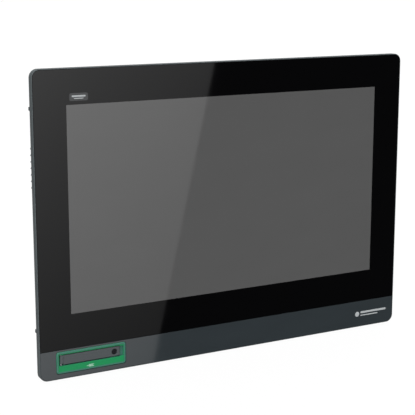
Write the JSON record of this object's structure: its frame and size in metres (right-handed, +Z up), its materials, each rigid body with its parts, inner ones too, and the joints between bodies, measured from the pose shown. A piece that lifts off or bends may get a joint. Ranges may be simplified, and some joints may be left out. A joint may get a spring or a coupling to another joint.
{
  "type": "hmi touch panel",
  "caption": "Wide-screen touch operator panel for a cabinet door, with a flanged bezel, a USB flap in the lower band and a finned control box behind.",
  "frame": {"origin": "centre of the panel cut-out, in the plane where the flange meets the cabinet door", "axes": "+X to the right as the operator sees it, +Y into the cabinet, +Z up; the screen faces -Y"},
  "size_m": [0.414, 0.0669, 0.295],
  "materials": {
    "slate_paint": "satin slate-grey paint on die-cast aluminium",
    "flap_plastic": "fine-textured dark grey",
    "black_steel": "blackened",
    "black_glass": "gloss, black printed border round a grey window",
    "band_gloss": "gloss slate-grey",
    "green_plastic": "gloss green",
    "rubber": "matt black",
    "steel": "plain",
    "tinned_shell": "bright tinned connector shells",
    "zinc_plate": "zinc-plated sheet",
    "housing_paint": "matt dark slate powder coat",
    "aluminium": "bare extruded",
    "black_plastic": "fine-textured black",
    "plug_green": "matt green",
    "circuit_board": "solder-masked green",
    "chip_black": "moulded package",
    "lcd_glass": "polarised cell, dark grey when off",
    "optical_sheet": "white and clear optical films",
    "ribbon": "amber flat cable"
  },
  "bodies": {
    "panel": {"front_bezel": "slate_paint", "touch_glass": "black_glass", "lower_band": "band_gloss", "usb_surround": "green_plastic", "panel_gasket": "rubber", "display_gasket": "rubber", "door_hinge_pin": "steel", "lcd_front_frame": "steel", "battery": "steel", "card_cover_pin": "steel", "housing_screw_1": "steel", "housing_screw_2": "steel", "housing_screw_3": "steel", "housing_screw_4": "steel", "box_screw_1": "steel", "box_screw_2": "steel", "box_screw_3": "steel", "box_screw_4": "steel", "front_usb_socket": "tinned_shell", "front_mini_socket": "tinned_shell", "ethernet_jack_1": "tinned_shell", "ethernet_jack_2": "tinned_shell", "rear_usb_socket_1": "tinned_shell", "rear_usb_socket_2": "tinned_shell", "card_socket": "tinned_shell", "control_box": "zinc_plate", "lcd_rear_pan": "zinc_plate", "earth_screw": "zinc_plate", "serial_port_1": "zinc_plate", "serial_port_2": "zinc_plate", "rear_housing": "housing_paint", "heat_sink": "aluminium", "heat_spreader": "aluminium", "rating_plate": "aluminium", "battery_holder": "black_plastic", "storage_card": "black_plastic", "power_header": "black_plastic", "front_usb_lead": "black_plastic", "front_usb_board": "circuit_board", "touch_controller": "circuit_board", "main_board": "circuit_board", "memory_module": "circuit_board", "processor": "chip_black", "power_module": "chip_black", "lcd_cell": "lcd_glass", "diffuser_sheet": "optical_sheet", "reflector_sheet": "optical_sheet", "light_guide": "optical_sheet", "led_strip": "optical_sheet", "display_ribbon": "ribbon"},
    "usb_door": {"usb_door": "flap_plastic", "door_seal": "rubber"},
    "lock_screw": {"lock_screw": "black_steel", "lock_retainer": "black_plastic"},
    "card_cover": {"card_cover": "black_plastic"},
    "power_plug": {"power_plug": "plug_green"},
    "terminal_screw_1": {"terminal_screw_1": "steel"},
    "terminal_screw_2": {"terminal_screw_2": "steel"},
    "terminal_screw_3": {"terminal_screw_3": "steel"}
  },
  "joints": [
    {"name": "usb_door_hinge", "type": "hinge", "parent": "panel", "child": "usb_door", "pos_m": [-0.185, -0.00515, -0.12865], "axis": [0, 0, -1], "range_deg": [0, 100]},
    {"name": "lock_turn", "type": "hinge", "parent": "usb_door", "child": "lock_screw", "pos_m": [-0.13, -0.0053, -0.12885], "axis": [0, -1, 0], "range_deg": [0, 1080]},
    {"name": "card_cover_hinge", "type": "hinge", "parent": "panel", "child": "card_cover", "pos_m": [0.12, 0.0482, -0.04], "axis": [0, 0, 1], "range_deg": [0, 105]},
    {"name": "power_plug_pull", "type": "slide", "parent": "panel", "child": "power_plug", "axis": [0, 0, -1], "range_m": [0, 0.009]},
    {"name": "terminal_screw_1_turn", "type": "hinge", "parent": "power_plug", "child": "terminal_screw_1", "pos_m": [-0.10008, 0.0433, -0.1049], "axis": [0, 1, 0], "range_deg": [0, 720]},
    {"name": "terminal_screw_2_turn", "type": "hinge", "parent": "power_plug", "child": "terminal_screw_2", "pos_m": [-0.095, 0.0433, -0.1049], "axis": [0, 1, 0], "range_deg": [0, 720]},
    {"name": "terminal_screw_3_turn", "type": "hinge", "parent": "power_plug", "child": "terminal_screw_3", "pos_m": [-0.08992, 0.0433, -0.1049], "axis": [0, 1, 0], "range_deg": [0, 720]}
  ]
}
